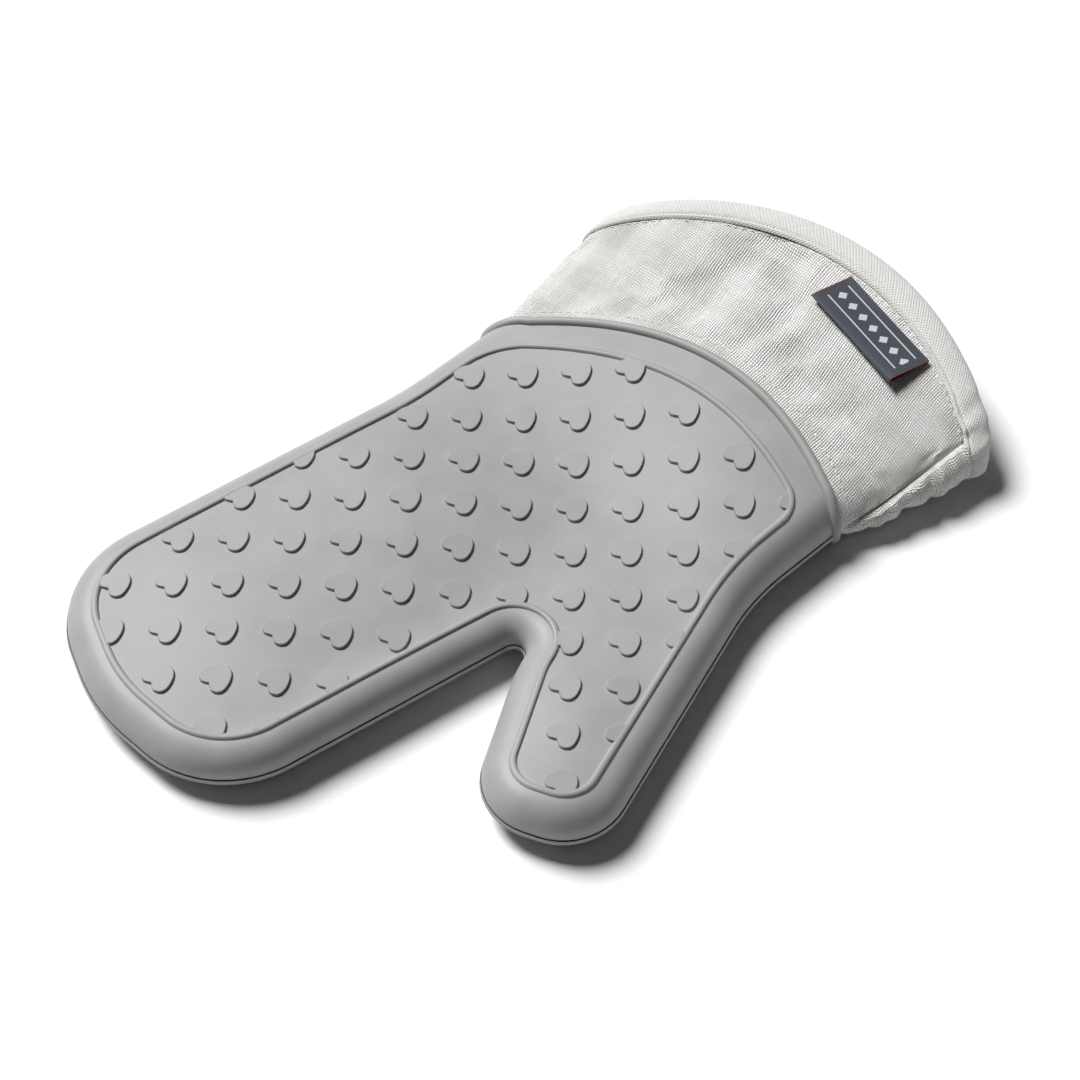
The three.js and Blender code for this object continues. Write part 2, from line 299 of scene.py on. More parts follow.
def ringOf(bm, points, closed=False):
    tag = bm.verts.layers.int.get("spot") or bm.verts.layers.int.new("spot")
    verts = [bm.verts.new(p) for p in points]
    for k, vert in enumerate(verts):
        vert[tag] = k
    pairs = list(zip(verts, verts[1:])) + ([(verts[-1], verts[0])] if closed else [])
    return verts, [bm.edges.new(pair) for pair in pairs]


def loft(bm, rings, closed=False, caps=False):
    # Carries the first ring through the others.
    firstVerts, edges = ringOf(bm, rings[0], closed)
    tag = bm.verts.layers.int["spot"]
    verts = list(firstVerts)
    made = list(firstVerts)
    for ring in rings[1:]:
        geom = bmesh.ops.extrude_edge_only(bm, edges=edges)["geom"]
        fresh = [v for v in geom if isinstance(v, bmesh.types.BMVert)]
        verts = sorted(fresh, key=lambda v: v[tag])
        for vert in verts:
            vert.co = ring[vert[tag]]
        isFresh = set(verts)
        edges = [e for e in geom if isinstance(e, bmesh.types.BMEdge) and all(v in isFresh for v in e.verts)]
        made += verts
    if caps:
        bm.faces.new(firstVerts)
        bm.faces.new(verts)
    return made, verts


def appendTo(bm, extra):
    holder = bpy.data.meshes.new("holder")
    extra.to_mesh(holder)
    extra.free()
    bm.from_mesh(holder)
    bpy.data.meshes.remove(holder)


def scoreAcross(bm, faces, point, normal, dist):
    # Draws an edge across some faces where an upright plane meets them.
    geom = list(dict.fromkeys(v for f in faces for v in f.verts))
    geom += list(dict.fromkeys(e for f in faces for e in f.edges)) + faces
    bmesh.ops.bisect_plane(bm, geom=geom, dist=dist, plane_co=(*point, 0), plane_no=(*normal, 0))


def clip(bm, point, normal):
    # Keeps what lies behind an upright plane, and closes the cut.
    geom = bm.verts[:] + bm.edges[:] + bm.faces[:]
    bmesh.ops.bisect_plane(
        bm, geom=geom, dist=1e-4, plane_co=(*point, 0), plane_no=(*normal, 0), clear_outer=True
    )
    openEdges = [e for e in bm.edges if e.is_boundary]
    if openEdges:
        bmesh.ops.holes_fill(bm, edges=openEdges, sides=0)


def thicken(bm, wall):
    # Gives an open half sheet its wall, on the inner side.
    faces = bm.faces[:]
    bmesh.ops.recalc_face_normals(bm, faces=faces)
    centre = sum((v.co for v in bm.verts), Vector()) / len(bm.verts)
    centre.z = mid
    if sum(f.normal.dot(f.calc_center_median() - centre) * f.calc_area() for f in faces) < 0:
        bmesh.ops.reverse_faces(bm, faces=faces)
    bmesh.ops.solidify(bm, geom=bm.faces[:], thickness=wall)
    bmesh.ops.recalc_face_normals(bm, faces=bm.faces[:])


def finishPiece(bm, name, material, stands, sharp=37):
    bmesh.ops.transform(bm, matrix=toFrame, verts=bm.verts)
    for face in bm.faces:
        face.smooth = True
    for edge in bm.edges:
        edge.smooth = not (len(edge.link_faces) == 2 and edge.calc_face_angle(0) > math.radians(sharp))
    mesh = bpy.data.meshes.new(name)
    bm.to_mesh(mesh)
    bm.free()
    mesh.materials.append(material)
    piece = bpy.data.objects.new(name, mesh)
    scene.collection.objects.link(piece)
    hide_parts(*stands)
    return piece


def onBody(piece, region):
    # The hand rides rigidly on the glove body; a stall only has its placement baked into its mesh and rides
    # no body.
    if region == "hand":
        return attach(piece, "glove")
    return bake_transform(piece)


# Materials.


def linear(code):
    parts = [int(code[k : k + 2], 16) / 255 for k in (1, 3, 5)]
    return tuple(c / 12.92 if c <= 0.04045 else ((c + 0.055) / 1.055) ** 2.4 for c in parts) + (1,)


def addNode(tree, kind, inputs=None, out=0, **settings):
    # Adds a node with its settings and inputs, and hands back one of its outputs.
    node = tree.nodes.new(kind)
    for name, value in settings.items():
        setattr(node, name, value)
    for socket, value in (inputs or {}).items():
        if isinstance(value, bpy.types.NodeSocket):
            tree.links.new(value, node.inputs[socket])
        else:
            node.inputs[socket].default_value = value
    return node.outputs[out]


def newMaterial(name, ior, roughness, sheen=0):
    material = bpy.data.materials.new(name)
    material.use_nodes = True
    tree = material.node_tree
    shader = tree.nodes["Principled BSDF"]
    shader.inputs["IOR"].default_value = ior
    shader.inputs["Roughness"].default_value = roughness
    shader.inputs["Sheen Weight"].default_value = sheen
    return material, tree, shader


def ramp(tree, value, stops):
    colour = addNode(tree, "ShaderNodeValToRGB", {0: value}, "Color")
    points = colour.node.color_ramp.elements
    while len(points) < len(stops):
        points.new(0.5)
    for point, (place, code) in zip(points, stops):
        point.position, point.color = place, linear(code)
    return colour


def addBump(tree, shader, height, strength, distance):
    inputs = {"Height": height, "Strength": strength, "Distance": distance}
    tree.links.new(addNode(tree, "ShaderNodeBump", inputs), shader.inputs["Normal"])


silicone = {
    "colour": "#a3a5a3",
    "shade": "#9d9f9d",
    "dust": "#b1b2b0",
    "roughness": (0.4, 0.54),
    "ior": 1.41,  # cured silicone rubber
    "mottle": 14,  # millimetres
    "specks": 1.7,  # millimetres, lint and dust that silicone picks up
    "grain": 0.35,  # millimetres, drawn coarser than the real mould finish
}


def makeSilicone():
    # Moulded silicone rubber: satin, with faint cloudiness and a very fine grain from the blasted mould.
    material, tree, shader = newMaterial("mouldedSilicone", silicone["ior"], silicone["roughness"][0])
    place = addNode(tree, "ShaderNodeTexCoord", out="Object")
    cloud, grain, specks = (
        addNode(tree, "ShaderNodeTexNoise", {"Vector": place, "Scale": 1000 / size, "Detail": detail})
        for size, detail in ((silicone["mottle"], 4), (silicone["grain"], 2), (silicone["specks"], 3))
    )
    base = ramp(tree, cloud, [(0.35, silicone["shade"]), (0.65, silicone["colour"])])
    spread = {"Value": specks, "From Min": 0.68, "From Max": 0.8, "To Max": 0.35}
    dusty = addNode(tree, "ShaderNodeMapRange", spread)
    mixed = {"Factor": dusty, "A": base, "B": linear(silicone["dust"])}
    toned = addNode(tree, "ShaderNodeMix", mixed, "Result", data_type="RGBA")
    tree.links.new(toned, shader.inputs["Base Color"])
    low, high = silicone["roughness"]
    rough = addNode(tree, "ShaderNodeMapRange", {"Value": cloud, "To Min": low, "To Max": high})
    tree.links.new(rough, shader.inputs["Roughness"])
    addBump(tree, shader, grain, 0.25, 0.00008)
    return material


def threadPattern(tree, u, v):
    # Plain weave from two coordinates counted in threads: the height of the threads.
    waves, rounds = [], []
    for way in (u, v):
        turn = addNode(tree, "ShaderNodeMath", {0: way, 1: math.pi}, operation="MULTIPLY")
        waves.append(addNode(tree, "ShaderNodeMath", {0: turn}, operation="SINE"))
        rounds.append(addNode(tree, "ShaderNodeMath", {0: waves[-1]}, operation="ABSOLUTE"))
    both = addNode(tree, "ShaderNodeMath", {0: waves[0], 1: waves[1]}, operation="MULTIPLY")
    over = addNode(tree, "ShaderNodeMath", {0: both, 1: 0.0}, operation="GREATER_THAN")
    crests = []
    for across, along in (rounds, rounds[::-1]):
        body = addNode(tree, "ShaderNodeMath", {0: across, 1: 0.5}, operation="POWER")
        dip = addNode(tree, "ShaderNodeMath", {0: along, 1: 0.65, 2: 0.35}, operation="MULTIPLY_ADD")
        crests.append(addNode(tree, "ShaderNodeMath", {0: body, 1: dip}, operation="MULTIPLY"))
    return addNode(tree, "ShaderNodeMix", {"Factor": over, "A": crests[1], "B": crests[0]}, "Result")


canvas = {
    "pitch": 1.0,  # millimetres from thread to thread
    "white": "#fdfcfb",
    "plain": "#e1e0de",
    "stripe": "#f5f4f2",
    "cross": "#e9e8e5",
    "check": 11.5,  # millimetres, one square
    "phase": (0.6, 0.9),
    # painted shade that fills the hollows between the threads
    "hollow": "#c3c0ba",
    "depth": (0.4, 0.8),  # how far that painted shade shows, in the binding and in the checked cloth
    "wander": 0.9,  # millimetres that the threads stray
    "relief": (0.00022, 0.0005),  # metres, plain cloth of the binding and checked cloth
}


def makeCanvas(name, checks):
    # Cotton canvas: a coarse plain weave of uneven, slightly slubby threads, with a pale woven check and
    # painted shade in the hollows between the threads.
    material, tree, shader = newMaterial(name, 1.47, 0.92, 0.25)
    uv = addNode(tree, "ShaderNodeUVMap", out="UV", uv_map="cloth")
    wobble = addNode(tree, "ShaderNodeTexNoise", {"Vector": uv, "Scale": 0.35, "Detail": 2}, "Color")
    shake = addNode(tree, "ShaderNodeVectorMath", {0: wobble, 1: (-0.5, -0.5, 0)}, operation="ADD")
    stray = (canvas["wander"],) * 3
    bent = addNode(tree, "ShaderNodeVectorMath", {0: shake, 1: stray, 2: uv}, operation="MULTIPLY_ADD")
    split = addNode(tree, "ShaderNodeSeparateXYZ", {0: bent}).node
    ways = [split.outputs[k] for k in (0, 1)]
    u, v = (addNode(tree, "ShaderNodeMath", {0: way, 1: canvas["pitch"]}, operation="DIVIDE") for way in ways)
    height = threadPattern(tree, u, v)
    slubs = []
    for stretch in ((1.1, 0.07, 1), (0.07, 1.1, 1)):
        drawn = addNode(tree, "ShaderNodeMapping", {"Vector": bent, "Scale": stretch})
        slubs.append(addNode(tree, "ShaderNodeTexNoise", {"Vector": drawn, "Scale": 1.0, "Detail": 2}))
    uneven = addNode(tree, "ShaderNodeMath", {0: slubs[0], 1: slubs[1]}, operation="ADD")
    blotch = addNode(tree, "ShaderNodeTexNoise", {"Vector": uv, "Scale": 0.9, "Detail": 3})
    colour = linear(canvas["white" if checks else "plain"])
    if checks:
        bands = []
        for way, phase in zip(ways, canvas["phase"]):
            turn = {0: way, 1: math.pi / canvas["check"], 2: phase}
            angle = addNode(tree, "ShaderNodeMath", turn, operation="MULTIPLY_ADD")
            wave = addNode(tree, "ShaderNodeMath", {0: angle}, operation="SINE")
            edge = addNode(tree, "ShaderNodeMath", {0: wave, 1: 1.6, 2: 0.5}, operation="MULTIPLY_ADD")
            bands.append(addNode(tree, "ShaderNodeClamp", {0: edge}))
        both = addNode(tree, "ShaderNodeMath", {0: bands[0], 1: bands[1]}, operation="ADD")
        half = addNode(tree, "ShaderNodeMath", {0: both, 1: 0.5}, operation="MULTIPLY")
        colour = ramp(tree, half, [(0.0, canvas["white"]), (0.5, canvas["stripe"]), (1.0, canvas["cross"])])
    # Painted shade: where the threads sink, the colour is mixed towards the darker hollow tone.
    spread = {"Value": height, "From Min": 0.1, "From Max": 0.75, "To Max": 0.0}
    spread["To Min"] = canvas["depth"][checks]
    threadShade = addNode(tree, "ShaderNodeMapRange", spread)
    mixed = {"Factor": threadShade, "A": colour, "B": linear(canvas["hollow"])}
    toned = addNode(tree, "ShaderNodeMix", mixed, "Result", data_type="RGBA")
    fleck = addNode(tree, "ShaderNodeMath", {0: blotch, 1: 0.8, 2: uneven}, operation="MULTIPLY_ADD")
    tones = {"Value": fleck, "From Min": 1.0, "From Max": 1.8, "To Min": 0.95, "To Max": 1.08}
    vary = addNode(tree, "ShaderNodeMapRange", tones)
    final = addNode(tree, "ShaderNodeVectorMath", {0: toned, "Scale": vary}, operation="SCALE")
    tree.links.new(final, shader.inputs["Base Color"])
    raised = addNode(tree, "ShaderNodeMath", {0: uneven, 1: 0.5, 2: height}, operation="MULTIPLY_ADD")
    addBump(tree, shader, raised, 1.0, canvas["relief"][checks])
    return material


def makeLining():
    # Cotton lining cloth: a finer plain weave, matt, off-white.
    material, tree, shader = newMaterial("cottonLining", 1.47, 0.95, 0.2)
    place = addNode(tree, "ShaderNodeTexCoord", out="Object")
    threads = addNode(tree, "ShaderNodeMapping", {"Vector": place, "Scale": (1 / 0.0006,) * 3})
    split = addNode(tree, "ShaderNodeSeparateXYZ", {0: threads}).node
    height = threadPattern(tree, split.outputs[0], split.outputs[1])
    fuzz = addNode(tree, "ShaderNodeTexNoise", {"Vector": place, "Scale": 260, "Detail": 4})
    tree.links.new(ramp(tree, fuzz, [(0.3, "#e2dfd7"), (0.7, "#f0eee8")]), shader.inputs["Base Color"])
    addBump(tree, shader, height, 0.5, 0.00015)
    return material


def makeWadding():
    # Needled polyester wadding: matt white, cloudy, with short crossing fibres.
    material, tree, shader = newMaterial("polyesterWadding", 1.5, 1.0, 0.4)
    place = addNode(tree, "ShaderNodeTexCoord", out="Object")
    cloud, fibre = (
        addNode(tree, "ShaderNodeTexNoise", {"Vector": place, "Scale": s, "Detail": 4, "Distortion": bend})
        for s, bend in ((120, 1.5), (900, 4))
    )
    tree.links.new(ramp(tree, cloud, [(0.3, "#e6e4de"), (0.7, "#f6f5f1")]), shader.inputs["Base Color"])
    addBump(tree, shader, fibre, 0.7, 0.0004)
    return material


def makeThread():
    # Polyester sewing thread: two plies that catch the light in slanting bands, painted as highlight and
    # shade in its colour as well as raised in its bump.
    material, tree, shader = newMaterial("polyesterThread", 1.54, 0.55, 0.1)
    place = addNode(tree, "ShaderNodeTexCoord", out="Object")
    twist = {"Vector": place, "Scale": 900, "Distortion": 0.6}
    ply = addNode(tree, "ShaderNodeTexWave", twist, "Fac", bands_direction="DIAGONAL")
    # Painted highlight and shade: the colour follows the twist of the plies, lighter on their crowns.
    tree.links.new(ramp(tree, ply, [(0.2, "#d8d5cf"), (0.8, "#f1efeb")]), shader.inputs["Base Color"])
    addBump(tree, shader, ply, 0.5, 0.00015)
    return material


siliconeFinish = makeSilicone()
canvasFinish = makeCanvas("ginghamCanvas", True)
bindingFinish = makeCanvas("plainCanvas", False)
liningFinish, waddingFinish, threadFinish = makeLining(), makeWadding(), makeThread()
print("materials ready")

# Glove layers: a palm half and a back half, each parted where the fingers and the thumb begin.

layers = {
    "skin": {"inset": 0, "wall": 2, "grid": 5, "rim": 9, "lip": 0.16},
    "wadding": {"inset": 2.4, "wall": 1.8, "grid": 7, "rim": 5, "lip": 0},
    "lining": {"inset": 4.7, "wall": 0.7, "grid": 7, "rim": 4, "lip": 0},
}


def rimStations(side, layer):
    full = rimRadius - layer["inset"]
    stations = []
    if layer["lip"]:
        stations = [(layer["lip"], 0), (layer["lip"] * 0.3, 0.12)]
    for k in range(1 if layer["lip"] else 0, layer["rim"] + 1):
        angle = math.pi / 2 * k / layer["rim"]
        stations.append((full * (1 - math.cos(angle)), full * math.sin(angle)))
    if side == "back" and layer["lip"]:  # the lower half's lip stands a little proud of the parting line
        stations = [(d - 0.8 * math.exp(-(((z - 1.5) / 1.9) ** 2)), z) for d, z in stations]
    return [(draw + layer["inset"], lift) for draw, lift in stations]


def halfSheet(side, layer):
    bm = bmesh.new()
    full = rimRadius - layer["inset"]
    rings = []
    for draw, lift in rimStations(side, layer):
        ring = outlineRing(draw, 3.2 if layer["lip"] else 6)
        rings.append([Vector((p.x, p.y, skinZ(side, p, lift, full))) for p in ring])
    made, inner = loft(bm, rings)
    left, right = (collarShare(v.co.x) for v in (inner[0], inner[-1]))
    steps = 44  # along the collar
    edge = [collarPoint(right + (left - right) * k / steps) for k in range(1, steps)]
    panelLayer = bm.faces.layers.int.new("panel")
    panel = bm.faces.new(inner + [bm.verts.new((p.x, p.y, 0)) for p in edge])
    panel[panelLayer] = 1
    for vert in panel.verts:
        vert.co.z = 0
    for way, low, high in ((Vector((1, 0)), -110, 110), (Vector((0, 1)), -140, 130)):
        for k in range(int(low / layer["grid"]), int(high / layer["grid"])):
            faces = [f for f in bm.faces if f[panelLayer] == 1]
            scoreAcross(bm, faces, way * (k * layer["grid"] + 0.37), way, 0.2)
    for vert in {v for f in bm.faces if f[panelLayer] == 1 for v in f.verts}:
        vert.co.z = skinZ(side, vert.co.to_2d(), full, full)
    for stall in (fingers, thumb):
        faces = [f for f in bm.faces if stallOf(f.calc_center_median().to_2d()) is stall]
        scoreAcross(bm, faces, stall["origin"], stall["along"], 0.05)
    return bm


def partOf(sheet, region):
    part = sheet.copy()
    other = [f for f in part.faces if regionOf(f.calc_center_median().to_2d()) != region]
    bmesh.ops.delete(part, geom=other, context="FACES")
    return part


relief = {
    "heartPitch": 13.435,
    "heartWidth": 5.5,  # half
    "heartTip": 6.8,
    "heartLobes": 3.7,
    "heartCleft": 1.8,
    "heartHeight": 1.0,
    "heartSides": 26,
    "beadInset": 10.4,
    "beadHalf": 1.25,
    "beadHeight": 1.0,
    "beadFromCollar": 13.2,
    "beadFlatter": 2.6,  # further off the collar at its middle
    "beadCorners": (30, 12),
    "rollRadius": 1.9,
    "rollSetback": 1.7,
    "rollSteps": 52,
}


def heartPoint(turn, grow=0):
    x, up = relief["heartWidth"] * math.sin(turn), math.cos(turn)
    if up > 0:
        y = -0.8 + relief["heartTip"] * up**1.35
    else:
        y = -0.8 - relief["heartLobes"] * (-up) ** 0.8 + relief["heartCleft"] * math.exp(-((x / 1.7) ** 2))
    flat = Vector((x, y))
    return flat * (1 + grow / max(flat.length, 2))


def collarOffset(t, extra=0):
    away = relief["beadFromCollar"] + relief["beadFlatter"] * (1 - (2 * t - 1) ** 2) + extra
    return collarPoint(t) - collarNormal(t) * away


def arcOf(centre, radius, first, last):
    angles = (first + (last - first) * k / 12 for k in range(13))
    return [centre + Vector((math.cos(a), math.sin(a))) * radius for a in angles]


def beadPath():
    # Down the left of the panel, round both stalls, up the right, and back along the collar.
    inset = relief["beadInset"]
    leftRadius, rightRadius = relief["beadCorners"]
    corners = []
    for edge, radius, way in ((wristLeft + inset, leftRadius, 1), (wristRight - inset, rightRadius, -1)):
        low, high = (0, 0.6) if way == 1 else (0.4, 1)
        for _ in range(40):
            t = (low + high) / 2
            centre = collarOffset(t, radius)
            low, high = (t, high) if centre.x < edge + way * radius else (low, t)
        corners.append((t, centre))
    (leftT, leftCentre), (rightT, rightCentre) = corners
    leftAngle, rightAngle = (math.atan2(n.y, n.x) for n in map(collarNormal, (leftT, rightT)))
    path = outlineRing(inset, 2.6, (leftCentre.y, rightCentre.y))
    path += arcOf(rightCentre, rightRadius, 0, rightAngle)[1:]
    steps = 36
    path += [collarOffset(rightT + (leftT - rightT) * k / steps) for k in range(1, steps)]
    return path + arcOf(leftCentre, leftRadius, leftAngle, math.pi)[:-1]


beadLine = beadPath()


def nearestOn(path, point):
    return min(range(len(path)), key=lambda k: (path[k] - point).length_squared)


def insideOf(path, point):
    inside = False
    for a, b in zip(path, path[1:] + path[:1]):
        if (a.y > point.y) != (b.y > point.y) and point.x < a.x + (point.y - a.y) / (b.y - a.y) * (b.x - a.x):
            inside = not inside
    return inside


def cutPlanes(point, region):
    # The upright planes that hold a raised detail inside its own part of the glove.
    stall = stallOf(point)
    if abs(inStall(stall, point)[1]) > 9:
        return []
    sign = 1 if region == "hand" else -1
    return [(stall["origin"], stall["along"] * sign)]


def addHearts(bm, side, region):
    # Hearts on a square lattice, tips towards the cuff; those at the border run flush into the bead.
    sign = 1 if side == "palm" else -1
    count, top = len(beadLine), relief["heartHeight"]
    levels = ((0.35, -0.4), (0.05, 0.12), (0, top - 0.25), (-0.25, top))  # how far out and how high
    for m in range(-9, 10):
        for n in range(-10, 10):
            centre = Vector((m, n)) * relief["heartPitch"]
            near = nearestOn(beadLine, centre)
            distance = (beadLine[near] - centre).length
            inside = insideOf(beadLine, centre)
            if (m + n) % 2 or not (inside or distance < 2.2):
                continue
            home, stall = regionOf(centre), stallOf(centre)
            crosses = abs(inStall(stall, centre)[1]) < 8 and "hand" in (region, home)
            otherStall = "thumb" if stall is fingers else "fingers"
            if region == otherStall or home != region and not crosses:
                continue
            heart = bmesh.new()
            rings = []
            for grow, up in levels:
                ring = []
                for k in range(relief["heartSides"]):
                    flat = centre + heartPoint(2 * math.pi * k / relief["heartSides"], grow)
                    ring.append(Vector((flat.x, flat.y, skinZ(side, flat) + sign * up)))
                rings.append(ring)
            loft(heart, rings, closed=True, caps=True)
            planes = cutPlanes(centre, region)
            if distance < 8:
                before, here, after = (beadLine[(near + k) % count] for k in (-2, 0, 2))
                bend = (after - here).cross(here - before)
                for k in (near,) if bend > 0 else (near - 2, near, near + 2):
                    way = beadLine[(k + 1) % count] - beadLine[(k - 1) % count]
                    planes.append((beadLine[k % count], Vector((way.y, -way.x)).normalized()))
            for point, normal in planes:
                if heart.faces:
                    clip(heart, point, normal)
            if sum(f.calc_area() for f in heart.faces) < 25:
                heart.free()
                continue
            bmesh.ops.recalc_face_normals(heart, faces=heart.faces[:])
            appendTo(bm, heart)


def sweepRun(bm, side, run, closed):
    sign = 1 if side == "palm" else -1
    half, high = relief["beadHalf"], relief["beadHeight"]
    rise = [(half + 0.25, -0.4), (half, 0.15), (half - 0.25, 0.7), (0.55, high)]
    profile = [(-across, up) for across, up in rise] + rise[::-1]
    rings = []
    for k, point in enumerate(run):
        if closed:
            way = run[(k + 1) % len(run)] - run[k - 1]
        else:
            way = run[min(k + 1, len(run) - 1)] - run[max(k - 1, 0)]
        normal = Vector((way.y, -way.x)).normalized()
        spots = [point + normal * across for across, _ in profile]
        rings.append([Vector((s.x, s.y, skinZ(side, s) + sign * up)) for s, (_, up) in zip(spots, profile)])
    bead = bmesh.new()
    loft(bead, rings, closed=True, caps=True)
    bmesh.ops.recalc_face_normals(bead, faces=bead.faces[:])
    appendTo(bm, bead)


def addBead(bm, side, region):
    count = len(beadLine)
    within = [regionOf(p) == region for p in beadLine]
    start = next(k for k in range(count) if not within[k] and within[(k + 1) % count])
    run = []
    for k in range(start, start + count + 1):
        a, b = beadLine[k % count], beadLine[(k + 1) % count]
        hereIn, nextIn = within[k % count], within[(k + 1) % count]
        if hereIn:
            run.append(a)
        if hereIn != nextIn:
            la, lb = (inStall(stallOf(a), p)[1] for p in (a, b))
            run.append(a.lerp(b, la / (la - lb)))
            if hereIn:
                if len(run) > 2:
                    sweepRun(bm, side, run, False)
                run = []


def rollPoint(t):
    return collarPoint(t) - collarNormal(t) * relief["rollSetback"]


def addRoll(bm, side):
    # The rolled edge of the collar, from one parting line to the other.
    quarters = []
    for edge, way in ((wristLeft, 1), (wristRight, -1)):
        quarters.append([])
        for k in range(9):
            angle = math.pi / 2 * k / 8
            x = edge + way * rimRadius * (1 - math.cos(angle))
            flat = rollPoint(collarShare(x))
            flat.x = x
            quarters[-1].append(Vector((flat.x, flat.y, skinZ(side, flat, rimRadius * math.sin(angle)))))
    low, high = collarShare(wristLeft + rimRadius), collarShare(wristRight - rimRadius)
    steps = relief["rollSteps"]
    top = [rollPoint(low + (high - low) * k / steps) for k in range(1, steps)]
    spots = quarters[0] + [Vector((p.x, p.y, skinZ(side, p))) for p in top] + quarters[1][::-1]
    rings = []
    for k, spot in enumerate(spots):
        way = (spots[min(k + 1, len(spots) - 1)] - spots[max(k - 1, 0)]).normalized()
        if k in (0, len(spots) - 1):
            way = Vector((0, 0, 1 if (k == 0) == (side == "palm") else -1))
        across = Vector((0, 1, 0))
        across = (across - way * across.dot(way)).normalized()
        up = way.cross(across)
        turns = (2 * math.pi * s / 14 for s in range(14))
        rings.append([spot + (across * math.cos(a) + up * math.sin(a)) * relief["rollRadius"] for a in turns])
        for corner in rings[-1]:
            corner.z = max(corner.z, 0.03)
    roll = bmesh.new()
    loft(roll, rings, closed=True, caps=True)
    bmesh.ops.recalc_face_normals(roll, faces=roll.faces[:])
    appendTo(bm, roll)


finishes = {"skin": siliconeFinish, "wadding": waddingFinish, "lining": liningFinish}
for layerName, layer in layers.items():
    for side in ("palm", "back"):
        sheet = halfSheet(side, layer)
        for region in ("hand", "fingers", "thumb"):
            part = partOf(sheet, region)
            thicken(part, layer["wall"])
            if layerName == "skin":
                addHearts(part, side, region)
                addBead(part, side, region)
                if region == "hand":
                    addRoll(part, side)
            name = f"{side}{layerName.capitalize()}{region.capitalize()}"
            stands = [f"{side}_{layerName}_{region}"]
            piece = finishPiece(part, name, finishes[layerName], stands)
            onBody(piece, region)
            print(name, len(piece.data.polygons), "faces")
        sheet.free()
print("glove ready")

# Cuff: two canvas panels and two linings, sewn at the sides, bound at the hem.

cuff = {
    "length": 67,
    "skew": 8,
    "flares": (9.7, 13.8),  # degrees, little-finger side and thumb side
    "hemBow": 35.5,
    "collarGap": 0.5,
    "mouthRise": 22,
    "backRise": 8,
    "mouthPower": 2.3,
    "backPower": 3.2,
    "tuck": 1.3,  # the canvas starts this far under the collar's roll
    "wall": 1.2,
    "turnedEdge": 5.2,  # double cloth beside the collar
    "columns": 84,
    "rows": 32,
    "seamClimb": 0.34,  # radians of the tube that the thumb-side seam climbs by the hem
    "crease": 0.6,
    "roll": 2.8,  # how far the back's cloth rolls out beside that seam
    "slack": 0.018,  # share by which the cloth is larger than its space
    "cap": 1.1,  # the furthest that the relaxing moves the cloth
    "frames": 24,
}
binding = {"width": 11, "puff": 1.5, "cornerPull": 1.5, "pucker": 0.4, "around": 260}
bindingStart = 1 - binding["width"] / cuff["length"]


def cuffEnds(along):
    ends = gloveShape["collarEnds"]
    left = Vector((wristLeft, ends[0] + cuff["collarGap"]))
    right = Vector((wristRight, ends[1] + cuff["collarGap"]))
    flareLeft, flareRight = (math.radians(a) for a in cuff["flares"])
    longer, shorter = cuff["length"] + cuff["skew"] / 2, cuff["length"] - cuff["skew"] / 2
    left += Vector((-math.sin(flareLeft), math.cos(flareLeft))) * longer * along
    right += Vector((math.sin(flareRight), math.cos(flareRight))) * shorter * along
    return left, right


def cuffPoint(side, spread, along, inset):
    left, right = cuffEnds(along)
    width = (right - left).length
    bow = gloveShape["collarBow"] + (cuff["hemBow"] - gloveShape["collarBow"]) * along
    flat = bowed(left, right, bow, 0.5 + 0.5 * spread * (1 - 2 * inset / width))
    depth = min(rimRadius, (1 - abs(spread)) * width / 2)
    collarLift = math.sqrt(max(0, 1 - ((rimRadius - depth) / rimRadius) ** 2))
    power = cuff["mouthPower"] if side == "palm" else cuff["backPower"]
    mouthLift = max(0, 1 - abs(spread) ** power) ** (1 / power)
    nearCollar = 1 - smooth(along / 0.7)
    lift = mouthLift + (collarLift - mouthLift) * nearCollar
    if side == "back":
        return Vector((flat.x, flat.y, mid - halfGap - lift * (cuff["backRise"] - inset)))
    start = rimRadius + palmRise(collarPoint(0.5 + 0.5 * spread)) - cuff["tuck"]
    rise = start + (cuff["mouthRise"] - start) * smooth(along * 0.5 + 0.25 * along * along + 0.25 * along)
    return Vector((flat.x, flat.y, mid + halfGap + lift * (rise - inset)))


def aroundCuff(turn, along, inset):
    # The whole tube: 0 is the little-finger side, pi the thumb side, and past pi the back.
    side = "palm" if turn <= math.pi else "back"
    return cuffPoint(side, -math.cos(turn), along, inset)


def seamTurn(along):
    # The thumb-side seam climbs from the side of the collar onto the palm face at the hem.
    return math.pi - cuff["seamClimb"] * smooth(0.1 + along)


def outwardFrom(turn, along):
    across = aroundCuff(turn + 0.02, along, 0) - aroundCuff(turn - 0.02, along, 0)
    lengthways = aroundCuff(turn, along + 0.01, 0) - aroundCuff(turn, along - 0.01, 0)
    return across.cross(lengthways).normalized()


def clothFold(side, spread, along):
    # Soft undulations of the panel, outwards in millimetres, before the cloth is relaxed.
    inner = smooth(along / 0.3) * smooth((bindingStart + 0.04 - along) / 0.16) * (1 - abs(spread) ** 6)
    seed = 3.1 if side == "palm" else 9.7
    slow = noise.noise(Vector((spread * 2.6, along * 1.5, seed)))
    quick = noise.noise(Vector((spread * 6.5, along * 2.2, seed + 5)))
    valley = 0
    if side == "palm":  # one long soft dent, from the hem towards the middle
        spot, start, end = Vector((spread * 85, along * 67)), Vector((-30, 62)), Vector((12, 30))
        share = min(1, max(0, (spot - start).dot(end - start) / (end - start).length_squared))
        valley = 1.7 * math.exp(-(((spot - start.lerp(end, share)).length / 6.5) ** 2)) * (1 - 0.6 * share)
    edge = smooth((cuff["turnedEdge"] - along * cuff["length"]) / 1.1)
    return inner * (1.6 * slow + 0.8 * quick - valley) + 0.5 * edge * (1 - abs(spread) ** 20)


